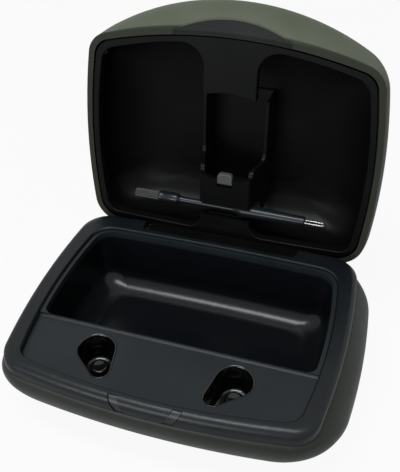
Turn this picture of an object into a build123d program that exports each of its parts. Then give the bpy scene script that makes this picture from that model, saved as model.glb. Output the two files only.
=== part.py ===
from build123d import *
import math
import os

os.makedirs("parts", exist_ok=True)

# The case stands on its foot pad with the origin at the middle of the pad's
# underside. X runs across the case, Y runs back to the hinge, Z is up.
# Depths are measured down from the rim plane, heights up from it.

# Plan of the case at the foot of its rim ring
rim_rear_width = 92.0
rim_front_width = 92.0
rim_depth = 67.5
rear_bow = 0.8
side_bow = 2.7
front_bow = 4.4
rear_corner = 9.5
front_corner = 8.0

# Where the rim and the hinge lie
rim_height = 31.0
hinge_y = 27.0
hinge_drop = 4.9
hinge_setback = 0.2
open_angle = 98.0

# Lower case shell
shell_wall = 2.0
side_bulge = 5.0
side_bulge_depth = 16.0
side_tuck = 14.5
front_bulge = 0.6
front_bulge_depth = 7.5
front_tuck = 27.0
rear_bulge = 4.4
rear_bulge_depth = 12.0
rear_tuck = 7.0
side_fullness = 2.2
front_fullness = 1.7
rear_fullness = 3.0
belly_rear_corner = 11.5
belly_front_corner = 22.0
bottom_front_corner = 13.0

# Rim ring
rim_thickness = 4.8
rim_rounding = 2.8
rim_side_rounding = 1.3
ring_wall = 1.6
ring_hollow_reach = 18.0
rim_rear_reach = 3.8
opening_side_margin = 5.1
opening_front_margin = 3.5
opening_rear_margin = 4.9
opening_rear_corner = 7.0
opening_front_corner = 5.0
opening_bevel = 0.4
ledge_depth = 3.2
ledge_width = 0.3

# Charging tray
tray_top_depth = 0.9
deck_depth = 1.9
deck_thickness = 1.8
deck_rounding = 0.8
deck_length = 25.3
well_depth = 22.5
well_wall = 1.0
well_edge = 1.2
well_front_corner = 3.0
well_draft = 1.1
well_fillet = 7.0

# Charging ports
port_x = 20.8
port_margin = 8.0
port_radius = 5.2
port_toe_inset = 3.9
port_toe_run = 6.75
port_toe_radius = 2.6
cup_wall = 0.7
cup_bevel = 0.45
cup_depth = 9.5
cup_floor = 1.3
cup_lip = 0.15
post_radius = 2.6
post_height = 2.0
pin_first = 4.3
pin_pitch = 2.6

# Spring contacts
barrel_radius = 0.75
barrel_bore = 0.55
barrel_length = 4.2
plunger_radius = 0.5
plunger_reach = 1.3
plunger_travel = 0.8
contact_spring_wire = 0.12

# Boards
board_thickness = 1.0
contact_board_gap = 0.7
contact_board_width = 50.0
contact_board_margin = 1.8
contact_board_slope = 5.5
main_board_width = 58.0
main_board_depth = 25.4
standoff_radius = 2.0
screw_radius = 0.8
screw_head_radius = 1.5
screw_head_height = 0.7
screw_length = 3.2
chip_height = 0.9
led_size = 1.4

# Light guides
guide_width = 2.4
guide_x = 8.1
guide_lean = 29.0
guide_show = 2.2
guide_cover = 0.9
guide_recess = 0.3
guide_reach = 3.4

# Power socket
socket_width = 8.94
socket_height = 3.26
socket_length = 7.3
socket_wall = 0.3
socket_mouth_recess = 0.5
socket_tongue_width = 6.7
socket_tongue_thickness = 0.7

# Case screws
case_screw_x = 25.5
case_screw_spread = 13.0
case_screw_radius = 1.0
case_screw_head_radius = 1.9
case_screw_head_height = 1.2
case_screw_length = 4.4
case_screw_seat = 28.4
boss_radius = 2.4
boss_end = 27.0

# Weight that keeps the open case upright
weight_width = 54.0
weight_depth = 6.6
weight_height = 7.0
weight_margin = 4.3
weight_stand = 7.6
weight_rib = 2.0

# Foot pad
pad_width = 62.0
pad_depth = 34.0
pad_stand = 1.0
pad_recess = 0.4
pad_corner = 8.0

# Hinge
barrel_span = 52.6
knuckle_radius = 2.2
knuckle_gap = 0.3
trough_wall = 0.9
ear_length = 7.5
hinge_pin_radius = 0.8
hinge_pin_length = 15.0
hinge_pin_clearance = 0.03
arm_thickness = 2.1

# Lid shell
lid_gap = 0.25
lid_height = 22.3
lid_wall = 1.8
lid_overhang = 2.0
lid_front_bulge = 8.3
lid_front_bulge_height = 10.0
lid_side_bulge = 0.7
lid_side_bulge_height = 5.0
lid_front_bow = 14.8
lid_crown_side = 24.0
lid_crown_front = 30.0
lid_crown_rear = 15.0
lid_crown_bow = 4.0
lid_corner = 13.0
lid_crown_corner = 9.0
lid_fullness = 2.3

# Thumb grip
grip_width = 37.0
grip_height = 2.9
grip_depth = 0.5
grip_clearance = 0.15

# Lid frame
frame_thickness = 3.0
frame_groove = 0.5
frame_groove_depth = 1.2
flange_width = 4.2
flange_rear_width = 4.4
spine_half_width = 8.6
window_front_corner = 7.0
window_rear_corner = 4.5
window_outer_corner = 4.0
window_rounding = 0.4
tongue_end = 53.0
tongue_hollow = 1.5
tab_end = 9.3

# Capsule cradle and bracket
rail_half_gap = 10.0
rail_wall = 0.9
rail_height = 9.0
cradle_front = 49.4
cradle_plate = 1.0
bracket_half_width = 8.4
bracket_wall = 1.0
bracket_plate = 1.6
bracket_proud = 1.5
bracket_front = 25.9
bracket_sweep = 5.1
bracket_rear = 15.0
bracket_hollow = 1.2
catch_half_width = 2.5
catch_length = 3.6
catch_proud = 0.9
catch_travel = 1.0
catch_clearance = 0.1

# Cleaning tool
tool_setback = 12.4
tool_height = 2.1
tool_radius = 2.2
tool_end_radius = 2.0
tool_waist_radius = 1.2
tool_tail_radius = 1.7
tool_left = 24.0
tool_right = 27.0
tool_step = 17.5
tool_swell = 6.0
tool_taper = 4.0
tool_tip_length = 8.5
tool_tip_radius = 1.5
loop_wire = 0.5
loop_width = 1.8
loop_length = 6.5
saddle_clearance = 0.1

# Magnets
magnet_radius = 1.5
magnet_height = 2.0
magnet_x = 42.3
magnet_setback = 63.0
magnet_cover = 0.9

# Places that follow from the sizes above
rear_line = hinge_y - hinge_setback
front_line = rear_line - rim_depth
hinge_z = rim_height - hinge_drop
hinge_axis = Axis((0, hinge_y, hinge_z), (1, 0, 0))
shell_bottom_depth = rim_height - pad_stand
deck_edge = front_line - front_bow + deck_length
barrel_half = barrel_span / 2
lid_edge_bow = front_bow + lid_overhang
port_y = deck_edge - port_margin
port_toe_x = port_x - port_toe_inset
port_toe_y = port_y - port_toe_run


def set_back(distance):
    """Y of a place a given distance in front of the hinge axis."""
    return hinge_y - distance


def down(depth):
    """Z of a place a given depth below the rim plane."""
    return rim_height - depth


def up(height):
    """Z of a place a given height above the closed lid's underside."""
    return rim_height + lid_gap + height


def box(x_low, x_high, y_low, y_high, z_low, z_high):
    """Box given by its two corners."""
    middle = ((x_low + x_high) / 2, (y_low + y_high) / 2, (z_low + z_high) / 2)
    return Pos(*middle) * Box(x_high - x_low, y_high - y_low, z_high - z_low)


def post(x, y, z_low, z_high, radius):
    """Upright round post."""
    return Pos(x, y, (z_low + z_high) / 2) * Cylinder(radius, z_high - z_low)


def rod(x_low, x_high, y, z, radius):
    """Round rod that lies along X."""
    return Pos((x_low + x_high) / 2, y, z) * Rot(0, 90, 0) * Cylinder(radius, x_high - x_low)


def four_sided(z, half_rear, half_front, y_rear, y_front, bows, corners):
    """Flat rounded outline whose four sides are gently bowed."""
    bow_rear, bow_side, bow_front = bows
    corner_rear, corner_front = corners
    half_middle = (half_rear + half_front) / 2 + bow_side
    y_middle = (y_rear + y_front) / 2
    edges = [
        ThreePointArc((-half_rear, y_rear), (0, y_rear + bow_rear), (half_rear, y_rear)),
        ThreePointArc((half_rear, y_rear), (half_middle, y_middle), (half_front, y_front)),
        ThreePointArc((half_front, y_front), (0, y_front - bow_front), (-half_front, y_front)),
        ThreePointArc((-half_front, y_front), (-half_middle, y_middle), (-half_rear, y_rear)),
    ]
    face = make_face(edges)
    face = fillet(face.vertices().sort_by(Axis.Y)[-2:], corner_rear)
    face = fillet(face.vertices().sort_by(Axis.Y)[:2], corner_front)
    return Pos(0, 0, z) * face


def case_plan(z, rear=0.0, side=0.0, front=0.0, bow=front_bow, corners=(rear_corner, front_corner)):
    """Outline of the case with each side pushed out by its own amount."""
    return four_sided(
        z,
        rim_rear_width / 2 + side,
        rim_front_width / 2 + side,
        rear_line + rear,
        front_line - front,
        (rear_bow, side_bow, bow),
        corners,
    )


def opening_plan(z, inset=0.0, corners=None):
    """Outline of the opening in the rim, made smaller by inset."""
    return case_plan(
        z,
        -opening_rear_margin + hinge_setback - inset,
        -opening_side_margin - inset,
        -opening_front_margin - inset,
        front_bow,
        corners or (opening_rear_corner - inset, opening_front_corner - inset),
    )


def belly(level, top, widest, flat, widest_level, top_level, flat_level, fullness):
    """How far a side stands out: it swells to its widest level, then rounds in to the flat."""
    if level <= widest_level:
        share = (widest_level - level) / (widest_level - top_level)
        return widest - (widest - top) * share**2
    share = min(1.0, (level - widest_level) / (flat_level - widest_level))
    return flat + (widest - flat) * (1 - share**fullness) ** (1 / fullness)


def spaced_levels(first, last, count):
    """Levels that close up towards the last one, as on a quarter circle."""
    return [first + (last - first) * math.sin(math.pi / 2 * i / count) for i in range(count + 1)]


def shell_body(wall):
    """Solid of the lower case, made smaller by a wall thickness on every side but its top."""
    flat_level = shell_bottom_depth - wall
    sections = []
    for level in spaced_levels(rim_thickness, flat_level, 12):
        side = belly(level, 0.0, side_bulge, -side_tuck, side_bulge_depth,
                     rim_thickness, flat_level, side_fullness)
        front = belly(level, 0.0, front_bulge, -front_tuck, front_bulge_depth,
                      rim_thickness, flat_level, front_fullness)
        rear = belly(level, rim_rear_reach, rear_bulge, -rear_tuck, rear_bulge_depth,
                     rim_thickness, flat_level, rear_fullness)
        swell = min(1.0, (level - rim_thickness) / (side_bulge_depth - rim_thickness))
        ease = max(0.0, (level - side_bulge_depth) / (flat_level - side_bulge_depth))
        corners = (
            rear_corner + (belly_rear_corner - rear_corner) * swell - wall,
            front_corner + (belly_front_corner - front_corner) * swell
            + (bottom_front_corner - belly_front_corner) * ease - wall,
        )
        sections.append(case_plan(down(level), rear - wall, side - wall, front - wall, front_bow, corners))
    return loft(sections)


def ring_body():
    """Solid under the rim ring's rounded outer surface."""
    sections = []
    for level in [rim_thickness * (1 - math.sin(math.pi / 2 * i / 10)) for i in range(11)]:
        rise = max(0.0, rim_rounding - level) / rim_rounding
        inset = rim_rounding * (1 - math.sqrt(1 - rise**2))
        side_rise = max(0.0, rim_side_rounding - level) / rim_side_rounding
        side_inset = rim_side_rounding * (1 - math.sqrt(1 - side_rise**2))
        rear_rise = (rim_thickness - level) / rim_thickness
        rear_inset = (rim_rear_reach + hinge_setback) * (1 - math.sqrt(1 - rear_rise**2))
        sections.append(case_plan(down(level), rim_rear_reach - rear_inset, -side_inset, -inset))
    return loft(sections)


def lid_body(wall):
    """Solid of the lid's dome in its closed place, made smaller by a wall thickness."""
    top = lid_height - wall
    sections = []
    for level in spaced_levels(0.0, top, 12):
        side = belly(level, 0.0, lid_side_bulge, -lid_crown_side, lid_side_bulge_height, 0.0, top, lid_fullness)
        centre = belly(level, lid_overhang, lid_front_bulge, -lid_crown_front, lid_front_bulge_height,
                       0.0, top, lid_fullness)
        rear = belly(level, hinge_setback, hinge_setback, -lid_crown_rear, lid_side_bulge_height,
                     0.0, top, lid_fullness)
        if level <= lid_front_bulge_height:
            share = 1 - ((lid_front_bulge_height - level) / lid_front_bulge_height) ** 2
            bow = lid_edge_bow + (lid_front_bow - lid_edge_bow) * share
            corners = (rear_corner + (lid_corner - rear_corner) * share - wall,
                       front_corner + (lid_corner - front_corner) * share - wall)
        else:
            share = (level - lid_front_bulge_height) / (top - lid_front_bulge_height)
            bow = lid_front_bow + (lid_crown_bow - lid_front_bow) * share**2
            corner = lid_corner + (lid_crown_corner - lid_corner) * share**3 - wall
            corners = (corner, corner)
        front = centre - (bow - front_bow)
        sections.append(case_plan(up(level), rear - wall, side - wall, front - wall, bow, corners))
    return loft(sections)


def well_section(z, inset, wall):
    """Outline of the storage well, inset as it goes down, with its wall outside."""
    give = inset - wall
    corner = opening_rear_corner - well_edge + wall
    plan = opening_plan(z, well_edge + give, (corner, corner))
    plan &= Pos(0, deck_edge + give + 100, z) * Rectangle(300, 200)
    return fillet(plan.vertices().sort_by(Axis.Y)[:2], well_front_corner + wall)


def well_body(wall):
    """Solid of the storage well's cavity, or of its outside when given a wall."""
    floor = well_depth + wall
    radius = well_fillet + wall
    bend = floor - radius
    levels = [tray_top_depth + (bend - tray_top_depth) * i / 7 for i in range(8)]
    levels += spaced_levels(bend, floor, 6)[1:]
    sections = []
    for level in levels:
        inset = well_draft * level / well_depth
        if level > bend:
            inset += radius - math.sqrt(max(0.0, radius**2 - (level - bend) ** 2))
        sections.append(well_section(down(level), inset, wall))
    return loft(sections)


def egg(z, side, grow):
    """Egg outline of a charging port on one side, grown by an amount."""
    heel = Pos(side * port_x, port_y) * Circle(port_radius + grow)
    toe = Pos(side * port_toe_x, port_toe_y) * Circle(port_toe_radius + grow)
    return Pos(0, 0, z) * make_hull(heel.edges() + toe.edges())


def pin_places():
    """X and Y of the spring contacts, two to a port, along each port's long axis."""
    run = math.hypot(port_toe_inset, port_toe_run)
    places = []
    for side in (-1, 1):
        for distance in (pin_first, pin_first + pin_pitch):
            x = side * (port_x - port_toe_inset / run * distance)
            places.append((x, port_y - port_toe_run / run * distance))
    return places


def make_base_shell():
    """Bowl of the case, with screw posts, board standoffs and the socket's opening."""
    outer = shell_body(0.0)
    shell = outer - shell_body(shell_wall)
    for x, y in case_screw_places():
        shell += post(x, y, down(shell_bottom_depth - 0.5), down(boss_end + 0.05), case_screw_head_radius + 1.2)
        shell -= post(x, y, 0, down(case_screw_seat), case_screw_head_radius + 0.2)
        shell -= post(x, y, 0, rim_height, case_screw_radius + 0.1)
    for side in (-1, 1):
        for x in (side * weight_width / 6, side * (weight_width / 2 - 4)):
            rib = box(x - weight_rib / 2, x + weight_rib / 2, weight_y - weight_depth - 3,
                      weight_y + 1, 0, weight_stand + 1.0)
            shell += rib & shell_body(shell_wall - 0.3)
    shell -= weight_bar(0.05)
    recess = RectangleRounded(pad_width + 0.2, pad_depth + 0.2, pad_corner + 0.1)
    shell -= extrude(recess, pad_stand + pad_recess)
    for x, y in board_screw_places():
        standoff = post(x, y, down(shell_bottom_depth - shell_wall + 0.3), board_underside, standoff_radius)
        shell += standoff
        shell -= post(x, y, down(shell_bottom_depth - 1), board_underside, screw_radius - 0.05)
    reach = trough_wall + knuckle_radius + knuckle_gap + 0.1
    shell -= rod(-barrel_half - ear_length - 0.1, barrel_half + ear_length + 0.1, hinge_y, hinge_z, reach)
    shell -= box(-barrel_half - 0.3, barrel_half + 0.3, hinge_y - 2, hinge_y + 12, hinge_z - 1.2, rim_height)
    shell -= socket_outline(0.35, 12.0)
    return shell


def make_base_rim():
    """Rim ring with its opening, tray ledge, hinge ears, trough and light guide slots."""
    knuckle = knuckle_radius + knuckle_gap
    trough = knuckle + trough_wall
    ends = barrel_half + ear_length
    ring = ring_body()
    ring += rod(-ends, ends, hinge_y, hinge_z, trough) & box(-99, 99, 0, 99, 0, down(1.5))
    ring -= extrude(opening_plan(down(ledge_depth)), ledge_depth + 1)
    ring -= extrude(opening_plan(down(rim_thickness + 1), ledge_width), rim_thickness + 1)
    ring -= loft([opening_plan(down(opening_bevel)), opening_plan(rim_height, -opening_bevel)])
    hollow = case_plan(down(rim_thickness + 1), -ring_wall, -ring_wall, -ring_wall)
    hollow -= opening_plan(down(rim_thickness + 1), -ring_wall)
    hollow &= Pos(0, 0, down(rim_thickness + 1)) * Rectangle(300, 2 * ring_hollow_reach)
    ring -= extrude(hollow, rim_thickness + 1 - rim_rounding)
    ring -= rod(-barrel_half - 0.3, barrel_half + 0.3, hinge_y, hinge_z, knuckle)
    ring -= box(-barrel_half - 0.3, barrel_half + 0.3, hinge_y - knuckle, hinge_y + 12, hinge_z, rim_height + 1)
    ring -= box(-barrel_half - 0.3, barrel_half + 0.3, hinge_y, hinge_y + 12, hinge_z - 1.2, rim_height + 1)
    for side in (-1, 1):
        pin_start = side * (barrel_half - 1)
        pin_end = side * (ends - 0.6)
        ring -= rod(min(pin_start, pin_end), max(pin_start, pin_end), hinge_y, hinge_z, hinge_pin_radius)
        ring -= guide_bar(side, 0.05)
        ring -= post(side * magnet_x, set_back(magnet_setback), down(rim_thickness + 1),
                     down(magnet_cover), magnet_radius + 0.05)
    return ring


def make_tray():
    """One moulding: front deck, storage well, seat on the rim's ledge and bosses below."""
    deck_under = deck_depth + deck_thickness
    tray = extrude(opening_plan(down(ledge_depth - 0.05), 0.1), ledge_depth - 0.05 - tray_top_depth)
    tray += extrude(opening_plan(down(deck_under), ledge_width + 0.1), deck_under - ledge_depth + 0.5)
    tray += well_body(well_wall) & box(-99, 99, -99, 99, 0, down(ledge_depth))
    tray -= well_body(0.0)
    tray -= box(-99, 99, -99, deck_edge, down(deck_depth), rim_height)
    nose = [edge for edge in tray.edges().filter_by(Axis.X) if abs(edge.center().Z - down(deck_depth)) < 0.01
            and abs(edge.center().Y - deck_edge) < 0.3]
    tray = fillet(nose, deck_rounding)
    for x, y in case_screw_places():
        tray += post(x, y, down(boss_end), down(well_depth + 0.5), boss_radius)
        tray -= post(x, y, 0, down(case_screw_seat - case_screw_length - 0.2), case_screw_radius)
    for side in (-1, 1):
        hole_foot = deck_depth + cup_depth + cup_floor + 0.1
        tray -= extrude(egg(down(hole_foot), side, cup_wall + 0.05), hole_foot + 1)
    for x, y in contact_screw_places():
        tray += post(x, y, contact_board_top, down(deck_under - 0.2), standoff_radius)
        tray -= post(x, y, 0, contact_board_top + screw_length - board_thickness, screw_radius - 0.05)
    return tray


def make_port_cup(side):
    """Glossy egg-shaped cup with a bevelled mouth, a round post and holes for two contacts."""
    mouth = down(deck_depth) + cup_lip
    floor = down(deck_depth + cup_depth)
    cup = extrude(egg(floor - cup_floor, side, cup_wall), mouth - floor + cup_floor)
    rim_edges = cup.faces().sort_by(Axis.Z)[-1].edges()
    cup = chamfer(rim_edges, 0.12)
    cup -= extrude(egg(floor, side, 0.0), mouth - floor)
    bevel = loft([egg(mouth - 0.7, side, 0.0), egg(mouth, side, cup_bevel)])
    cup -= bevel
    column = post(side * port_x, port_y, floor - 0.1, floor + post_height, post_radius)
    cup += chamfer(column.edges().filter_by(GeomType.CIRCLE).sort_by(Axis.Z)[-1], 0.35)
    for x, y in pin_places():
        if x * side > 0:
            cup -= post(x, y, floor - cup_floor - 1, floor + 1, barrel_radius + 0.03)
    return cup


def make_contact_barrels():
    """Sleeves that hold the sprung contacts, through the cup floors and the board."""
    barrels = []
    top = down(deck_depth + cup_depth) + 0.3
    for x, y in pin_places():
        sleeve = post(x, y, top - barrel_length, top, barrel_radius)
        sleeve -= post(x, y, top - barrel_length + 0.4, top + 1, barrel_bore)
        barrels.append(sleeve)
    return Compound(children=barrels)


def make_plunger(x, y):
    """Round-nosed plunger of one spring contact, at rest fully out."""
    top = down(deck_depth + cup_depth) + plunger_reach
    shank = post(x, y, top - 3.0, top, plunger_radius)
    return fillet(shank.edges().filter_by(GeomType.CIRCLE).sort_by(Axis.Z)[-1], plunger_radius * 0.7)


def make_contact_springs():
    """Coil springs in the sleeves, drawn at the length left under a fully pressed plunger."""
    springs = []
    foot = down(deck_depth + cup_depth) + 0.3 - barrel_length + 0.45
    room = down(deck_depth + cup_depth) + plunger_reach - 3.0 - plunger_travel - foot
    for x, y in pin_places():
        ring = post(x, y, foot, foot + room - 0.05, barrel_bore - 0.05)
        ring -= post(x, y, foot - 1, foot + room + 1, barrel_bore - 0.05 - contact_spring_wire)
        springs.append(ring)
    return Compound(children=springs)


def contact_screw_places():
    """X and Y of the screws that hold the contact board under the deck."""
    return [(-8.5, port_y + 2.3), (8.5, port_y + 2.3), (0.0, contact_board_front + 3.5)]


def case_screw_places():
    """X and Y of the screws that hold the tray to the shell."""
    return [(x, y) for x in (-case_screw_x, case_screw_x) for y in (-case_screw_spread, case_screw_spread)]


def board_screw_places():
    """X and Y of the screws that hold the main board to the shell's floor."""
    return [(x, set_back(distance)) for x in (-16.0, 16.0) for distance in (42.5, 8.0)]


def make_contact_board():
    """Circuit board under the port cups, with corners cut to clear the shell."""
    half = contact_board_width / 2
    back = deck_edge - contact_board_margin
    front = contact_board_front
    shoulder = front + contact_board_slope
    outline = Polyline(
        (-half, back), (half, back), (half, shoulder), (14, front), (-14, front), (-half, shoulder), close=True)
    board = extrude(Pos(0, 0, contact_board_top - board_thickness) * make_face(outline.edges()), board_thickness)
    for x, y in pin_places():
        board -= post(x, y, 0, rim_height, barrel_radius + 0.05)
    for x, y in contact_screw_places():
        board -= post(x, y, 0, rim_height, screw_radius + 0.1)
    return board


def make_main_board():
    """Circuit board on the shell's floor, under the storage well."""
    half = main_board_width / 2
    sketch = Rectangle(2 * half, 40.5)
    sketch = fillet(sketch.vertices(), 4.0)
    sketch = Pos(0, set_back(25.25)) * sketch
    sketch += Pos(0, deck_edge + 0.3) * Rectangle(28, 7.5)
    board = extrude(Pos(0, 0, board_underside) * sketch, board_thickness)
    for x, y in board_screw_places():
        board -= post(x, y, 0, rim_height, screw_radius + 0.1)
    for x, y in case_screw_places():
        board -= post(x, y, 0, rim_height, boss_radius + 0.3)
    return board


def make_main_chips():
    """Chips and small parts on top of the main board."""
    top = board_underside + board_thickness
    sizes = [(-12, 30, 7, 7), (4, 27, 5, 5), (13, 33, 4, 6), (-3, 18, 6, 4), (12, 18, 3, 3), (-15, 18, 3, 2),
             (-18, 38, 2, 3), (18, 40, 2, 3)]
    chips = [box(x - w / 2, x + w / 2, set_back(d) - h / 2, set_back(d) + h / 2, top, top + chip_height)
             for x, d, w, h in sizes]
    return Compound(children=chips)


def make_charge_chips():
    """Charging chips on the underside of the contact board, one for each port."""
    under = contact_board_top - board_thickness
    chips = [box(x - 2, x + 2, port_y - 7.2, port_y - 3.2, under - chip_height, under) for x in (-9.5, 9.5)]
    chips += [box(x - 1, x + 1, port_y - 1.8, port_y - 0.8, under - 0.5, under) for x in (-11.5, 11.5)]
    return Compound(children=chips)


def make_board_header():
    """Upright header that joins the contact board to the main board."""
    y = deck_edge - contact_board_margin - 1.0
    under = contact_board_top - board_thickness
    top = board_underside + board_thickness
    body = box(-6.4, 6.4, y - 0.9, y + 0.9, top, under)
    for i in range(5):
        x = (i - 2) * 2.54
        body -= box(x - 0.3, x + 0.3, y - 2, y - 0.5, top + 2.2, under - 2.2)
    return body


def make_screw(x, y, seat, radius, head_radius, head_height, length, up_sign):
    """Cross-headed screw whose head bears on seat and whose shank points along up_sign."""
    head = post(x, y, min(seat, seat - up_sign * head_height), max(seat, seat - up_sign * head_height), head_radius)
    outer = seat - up_sign * head_height
    slot = head_height * 0.6
    low, high = sorted((outer, outer + up_sign * slot))
    head -= box(x - head_radius * 0.6, x + head_radius * 0.6, y - 0.2, y + 0.2, low, high)
    head -= box(x - 0.2, x + 0.2, y - head_radius * 0.6, y + head_radius * 0.6, low, high)
    low, high = sorted((seat, seat + up_sign * length))
    return head + post(x, y, low, high, radius)


def make_board_screws():
    """Identical small screws of both boards."""
    screws = []
    for x, y in board_screw_places():
        seat = board_underside + board_thickness
        screws.append(make_screw(x, y, seat, screw_radius - 0.05, screw_head_radius, screw_head_height,
                                 screw_length - 0.6, -1))
    for x, y in contact_screw_places():
        seat = contact_board_top - board_thickness
        screws.append(make_screw(x, y, seat, screw_radius - 0.05, screw_head_radius, screw_head_height,
                                 screw_length - 0.6, 1))
    return Compound(children=screws)


def make_case_screws():
    """Four screws under the foot pad, through the shell into the tray's bosses."""
    screws = []
    for x, y in case_screw_places():
        screws.append(make_screw(x, y, down(case_screw_seat), case_screw_radius, case_screw_head_radius,
                                 case_screw_head_height, case_screw_length, 1))
    return Compound(children=screws)


def guide_bar(side, clearance):
    """Slanted bar across the rim's front edge, for a light guide or for its slot."""
    half = guide_width / 2 + clearance
    middle = Pos(side * guide_x, 0, down(rim_thickness / 2))
    front = front_line - front_bow
    bar = box(-half, half, front - 3, front + guide_reach + clearance, -6, 6)
    bar = (middle * Rot(0, side * guide_lean, 0) * bar) & box(-99, 99, -99, 99, down(rim_thickness), rim_height + 1)
    return bar - box(-99, 99, front + guide_show + clearance, 99, down(guide_cover - clearance), rim_height + 2)


def make_light_guide(side):
    """Clear bar let into the rim's front edge, with a foot that reaches down to its LED."""
    bar = guide_bar(side, 0.0) & (Pos(0, guide_recess, -guide_recess) * ring_body())
    back = front_line - front_bow + guide_reach
    x = side * (guide_x - rim_thickness / 2 * math.tan(math.radians(guide_lean)))
    half = guide_width / 2
    low = contact_board_top + led_size
    foot = Polyline((back, down(rim_thickness) + 0.3), (back - 1.1, down(rim_thickness) + 0.3),
                    (back - 1.1, down(rim_thickness)), (led_y - 0.9, low), (led_y + 0.6, low),
                    (back, down(rim_thickness)), close=True)
    profile = Plane.YZ * make_face(foot.edges())
    arm = extrude(Pos(x - half, 0, 0) * profile, 2 * half, dir=(1, 0, 0))
    return bar + arm


def make_leds():
    """Two LEDs on the contact board, one under each light guide."""
    x = guide_x - rim_thickness / 2 * math.tan(math.radians(guide_lean))
    half = led_size / 2
    return Compound(children=[
        box(side * x - half, side * x + half, led_y - half, led_y + half, contact_board_top,
            contact_board_top + led_size - 0.1) for side in (-1, 1)])


def socket_outline(grow, length):
    """Rounded bar of the power socket's section, along Y from its mouth inwards."""
    sketch = RectangleRounded(socket_width + 2 * grow, socket_height + 2 * grow, socket_height / 2 + grow - 0.01)
    start = socket_mouth + (length - socket_length) / 2
    return Pos(0, start, socket_z) * extrude(Rot(90, 0, 0) * sketch, length, dir=(0, -1, 0))


def make_socket_shell():
    """Metal shell of the power socket, closed at its inner end."""
    shell = socket_outline(0.0, socket_length)
    return shell - Pos(0, 0.6, 0) * socket_outline(-socket_wall, socket_length)


def make_socket_tongue():
    """Contact tongue inside the power socket."""
    back = socket_mouth - socket_length + 0.6
    half = socket_tongue_width / 2
    half_thick = socket_tongue_thickness / 2
    tongue = box(-half, half, back, socket_mouth - 1.0, socket_z - half_thick, socket_z + half_thick)
    for i in range(6):
        x = (i - 2.5) * 1.0
        tongue -= box(x - 0.15, x + 0.15, back + 1.5, socket_mouth, socket_z + half_thick - 0.08, socket_z + 1)
    return tongue


def weight_bar(clearance):
    """Bar that the weight fills, or that its seat in the ribs clears."""
    half = weight_width / 2 + clearance
    return box(-half, half, weight_y - weight_depth - clearance, weight_y + clearance, weight_stand, weight_stand + weight_height + clearance)


def make_weight():
    """Steel bar under the deck that balances the open lid."""
    return chamfer(weight_bar(0.0).edges(), 0.5)


def make_foot_pad():
    """Rubber pad under the shell."""
    pad = extrude(RectangleRounded(pad_width, pad_depth, pad_corner), pad_stand + pad_recess - 0.02)
    return chamfer(pad.faces().sort_by(Axis.Z)[0].edges(), 0.3)


def make_hinge_pins():
    """Two steel pins, pressed into the rim's ears."""
    pins = []
    for side in (-1, 1):
        outer = barrel_half + ear_length - 0.6
        inner = outer - hinge_pin_length
        ends = sorted((side * inner, side * outer))
        pins.append(rod(ends[0], ends[1], hinge_y, hinge_z, hinge_pin_radius))
    return Compound(children=pins)


def make_rim_magnets():
    """Two magnets in pockets under the rim's front corners."""
    top = down(magnet_cover + 0.05)
    return Compound(children=[
        post(side * magnet_x, set_back(magnet_setback), top - magnet_height, top, magnet_radius)
        for side in (-1, 1)])


def grip_tool(clearance):
    """Crescent-shaped cutter for the thumb grip's place in the lid's front."""
    half = grip_width / 2 + clearance
    rise = grip_height + clearance
    low = up(-1.0)
    arc = ThreePointArc((-half, up(0)), (0, up(rise)), (half, up(0)))
    lines = Polyline((half, up(0)), (half, low), (-half, low), (-half, up(0)))
    face = Plane.XZ * make_face(arc.edges() + lines.edges())
    front = front_line - front_bow
    bar = extrude(face, 30, dir=(0, -1, 0))
    return Pos(0, front + 12, 0) * bar


def make_lid_shell():
    """Dome of the lid, with the crescent cut out of its front and room for the hinge arm."""
    shell = lid_body(0.0) - lid_body(lid_wall)
    shell -= arm_plate(0.1)
    shell -= grip_tool(grip_clearance)
    return shell


def make_thumb_grip():
    """Crescent inlay, set back from the dome's surface as a hold for the thumb."""
    inner = Pos(0, 0.1, 0) * lid_body(lid_wall)
    outer = Pos(0, grip_depth, 0) * lid_body(0.0)
    return (outer - inner) & grip_tool(0.0) & box(-99, 99, -99, front_line, 0, 99)


def arm_plate(clearance):
    """Plate that joins the lid's barrel to its frame, in its closed place."""
    half = barrel_half - 0.5 + clearance
    return box(-half, half, hinge_y - arm_thickness - 0.1 - clearance, hinge_y - 0.1 + clearance,
               hinge_z, up(frame_thickness) + clearance)


def window(z):
    """Outline of the right-hand window in the lid's frame."""
    plan = case_plan(z, -flange_rear_width + hinge_setback, -flange_width, -flange_width, lid_edge_bow,
                     (window_outer_corner, front_corner - 2))
    half = plan & (Pos(spine_half_width + 50, hinge_y - 40, z) * Rectangle(100, 200))
    inner = half.vertices().sort_by(Axis.X)[:2].sort_by(Axis.Y)
    half = fillet(inner[0], window_front_corner)
    inner = half.vertices().sort_by(Axis.X)[:3].sort_by(Axis.Y)
    return fillet(inner[-1], window_rear_corner)


def window_lip(place):
    """True where a place on the frame's underside is on a window's edge, not on the outline."""
    room = flange_width + 0.5
    inner = case_plan(up(0), -room + 1.5, -room + 1.5, -room + 1.5, lid_edge_bow)
    return inner.is_inside((place.X, place.Y, up(0)))


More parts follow.
